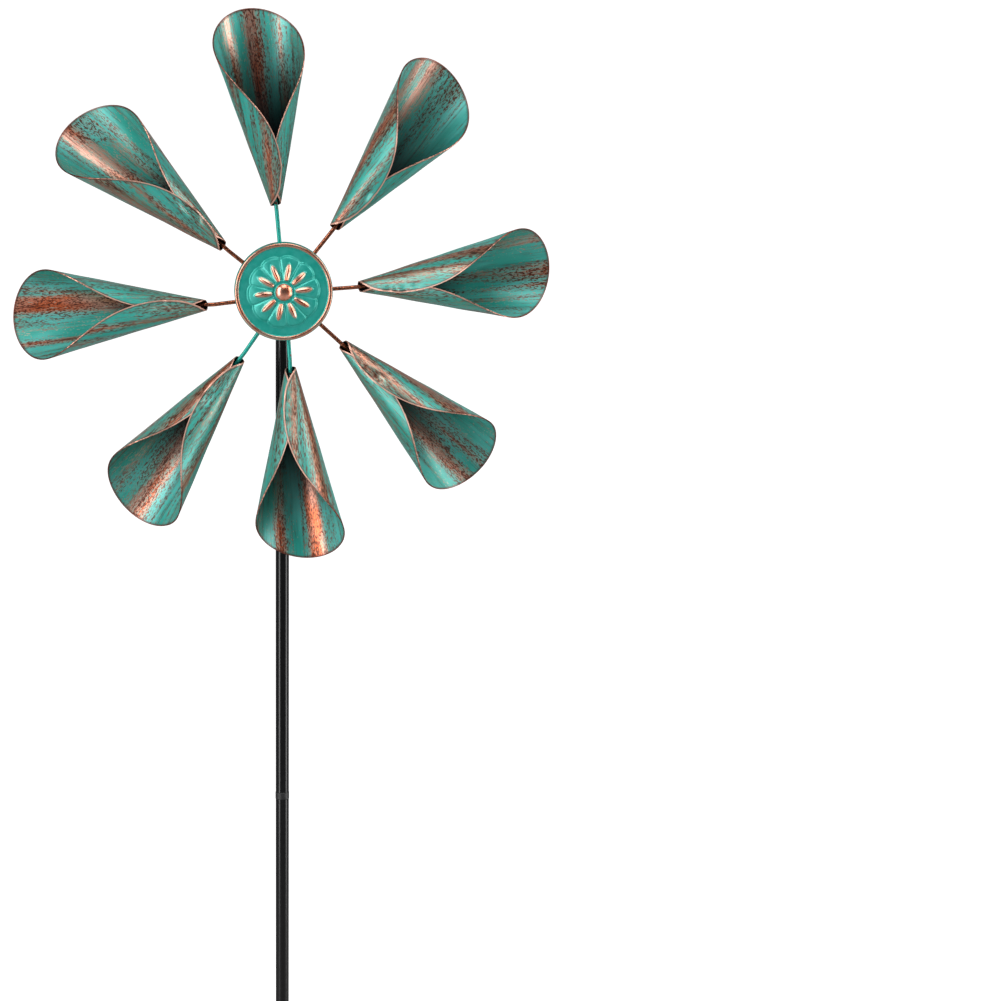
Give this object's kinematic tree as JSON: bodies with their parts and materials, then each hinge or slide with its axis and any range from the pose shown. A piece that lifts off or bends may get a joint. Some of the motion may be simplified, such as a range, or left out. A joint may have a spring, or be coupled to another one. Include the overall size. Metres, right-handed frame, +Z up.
{
  "type": "kinetic wind sculpture",
  "caption": "Wind-driven garden sculpture: a wheel of rolled sheet-metal scoops on wire spokes, turning on a bearing hub that swivels on a sectional pole with a pronged ground stake.",
  "frame": {"origin": "on the pole's axis at ground level, at the top of the ground spike's shaft", "axes": "+Z up along the pole, +X to the right seen from the front, the wheel faces -Y"},
  "size_m": [0.3931, 0.1241, 1.3303],
  "materials": {
    "patina_blade": "verdigris green brushed thinly over copper-bronze, with rust-brown speckle, satin",
    "patina_cap": "verdigris green with copper rubbed on the raised ridges and rim, satin",
    "patina_wire": "copper-brown with verdigris, satin",
    "black_powder_coat": "satin black powder coat",
    "black_nylon": "moulded black nylon",
    "turned_steel": "turned bright steel",
    "zinc_hardware": "zinc plated",
    "bearing_steel": "ground bearing steel",
    "brass_cage": "drilled brass",
    "hub_steel": "verdigris paint over steel, satin"
  },
  "bodies": {
    "ground_stake": {"ground_spike": "black_powder_coat", "side_prong_1": "black_powder_coat", "side_prong_2": "black_powder_coat", "side_prong_3": "black_powder_coat", "side_prong_4": "black_powder_coat", "lower_pole": "black_powder_coat", "middle_pole": "black_powder_coat", "swivel_bush": "black_nylon"},
    "head": {"upper_pole": "black_powder_coat", "pivot_pin": "turned_steel", "axle_sleeve": "black_powder_coat", "axle_bolt": "zinc_hardware", "bolt_washers": "zinc_hardware", "lock_nut": "zinc_hardware", "rear_spacer": "zinc_hardware", "race_spacer": "zinc_hardware", "rear_inner_race": "bearing_steel", "front_inner_race": "bearing_steel"},
    "wheel": {"hub_barrel": "hub_steel", "spoke_plate": "hub_steel", "front_cap": "patina_cap", "rear_cap": "patina_cap", "spoke_1": "patina_wire", "spoke_2": "patina_wire", "spoke_3": "patina_wire", "spoke_4": "patina_wire", "spoke_5": "patina_wire", "spoke_6": "patina_wire", "spoke_7": "patina_wire", "spoke_8": "patina_wire", "blade_1": "patina_blade", "blade_2": "patina_blade", "blade_3": "patina_blade", "blade_4": "patina_blade", "blade_5": "patina_blade", "blade_6": "patina_blade", "blade_7": "patina_blade", "blade_8": "patina_blade", "rear_outer_race": "bearing_steel", "front_outer_race": "bearing_steel"},
    "rear_rollers": {"rear_balls": "bearing_steel", "rear_cage": "brass_cage"},
    "front_rollers": {"front_balls": "bearing_steel", "front_cage": "brass_cage"}
  },
  "joints": [
    {"name": "head_swivel", "type": "hinge", "parent": "ground_stake", "child": "head", "pos_m": [0, 0, 0.5785], "axis": [0, 0, 1], "continuous": true},
    {"name": "wheel_spin", "type": "hinge", "parent": "head", "child": "wheel", "pos_m": [0, -0.029, 0.9615], "axis": [0, -1, 0], "continuous": true},
    {"name": "rear_cage_roll", "type": "hinge", "parent": "head", "child": "rear_rollers", "pos_m": [0, -0.015, 0.9615], "axis": [0, -1, 0], "continuous": true},
    {"name": "front_cage_roll", "type": "hinge", "parent": "head", "child": "front_rollers", "pos_m": [0, -0.027, 0.9615], "axis": [0, -1, 0], "continuous": true}
  ],
  "couplings": [
    {"joint": "rear_cage_roll", "follows": "wheel_spin", "ratio": 0.64},
    {"joint": "front_cage_roll", "follows": "wheel_spin", "ratio": 0.64}
  ]
}
